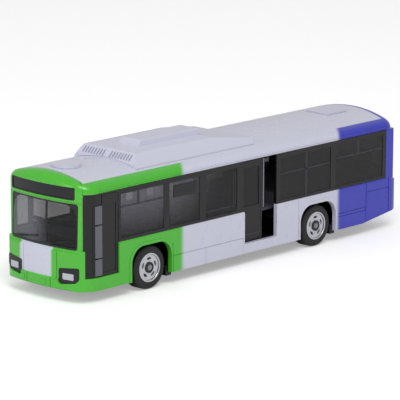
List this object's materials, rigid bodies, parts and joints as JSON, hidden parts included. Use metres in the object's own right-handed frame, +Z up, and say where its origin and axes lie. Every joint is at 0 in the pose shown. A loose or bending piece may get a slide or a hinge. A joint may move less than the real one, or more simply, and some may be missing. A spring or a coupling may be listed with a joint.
{
  "type": "die-cast toy city bus",
  "caption": "Hollow cast toy city bus with smoke windows, free-rolling wheels on pressed axles and a sliding middle door.",
  "frame": {"origin": "on the ground under the middle of the body", "axes": "+X forward along the bus, +Y to its left side where the doors are, +Z up"},
  "size_m": [0.13, 0.0318, 0.0377],
  "materials": {
    "body_paint": "gloss",
    "roof_white": "gloss",
    "smoke_glass": "clear smoke",
    "sign_black": "gloss",
    "door_black": "gloss",
    "lamp_lens": "satin",
    "tail_red": "gloss",
    "chassis_black": "satin",
    "interior_grey": "satin",
    "rail_metal": "satin",
    "axle_steel": "satin",
    "wheel_black": "satin"
  },
  "bodies": {
    "root": {"body_shell": "body_paint", "windscreen": "smoke_glass", "rear_window": "smoke_glass", "window_left_front": "smoke_glass", "window_left_rear": "smoke_glass", "window_right": "smoke_glass", "front_display": "sign_black", "rear_display": "sign_black", "headlamp_left": "sign_black", "headlamp_right": "sign_black", "headlamp_lens_left": "lamp_lens", "headlamp_lens_right": "lamp_lens", "tail_lamp_left": "tail_red", "tail_lamp_right": "tail_red", "front_door": "door_black", "door_rail_upper": "chassis_black", "door_rail_lower": "chassis_black", "seat_tray": "interior_grey", "dashboard": "chassis_black", "steering_wheel": "chassis_black", "door_handrail": "rail_metal", "chassis": "chassis_black", "chassis_rivet_front": "rail_metal", "chassis_rivet_rear": "rail_metal", "roof_air_conditioner": "roof_white", "roof_unit_cover": "roof_white", "roof_vent": "roof_white", "roof_hatch": "roof_white"},
    "front_wheelset": {"front_axle": "axle_steel", "wheel_front_left": "wheel_black", "wheel_front_right": "wheel_black"},
    "rear_wheelset": {"rear_axle": "axle_steel", "wheel_rear_left": "wheel_black", "wheel_rear_right": "wheel_black"},
    "middle_door": {"middle_door": "door_black", "middle_door_glass": "smoke_glass"}
  },
  "joints": [
    {"name": "front_axle_roll", "type": "hinge", "parent": "root", "child": "front_wheelset", "pos_m": [0.0383, 0, 0.006], "axis": [0, 1, 0], "continuous": true},
    {"name": "rear_axle_roll", "type": "hinge", "parent": "root", "child": "rear_wheelset", "pos_m": [-0.0286, 0, 0.006], "axis": [0, 1, 0], "continuous": true},
    {"name": "middle_door_slide", "type": "slide", "parent": "root", "child": "middle_door", "axis": [1, 0, 0], "range_m": [-0.00485, 0.00735]}
  ]
}
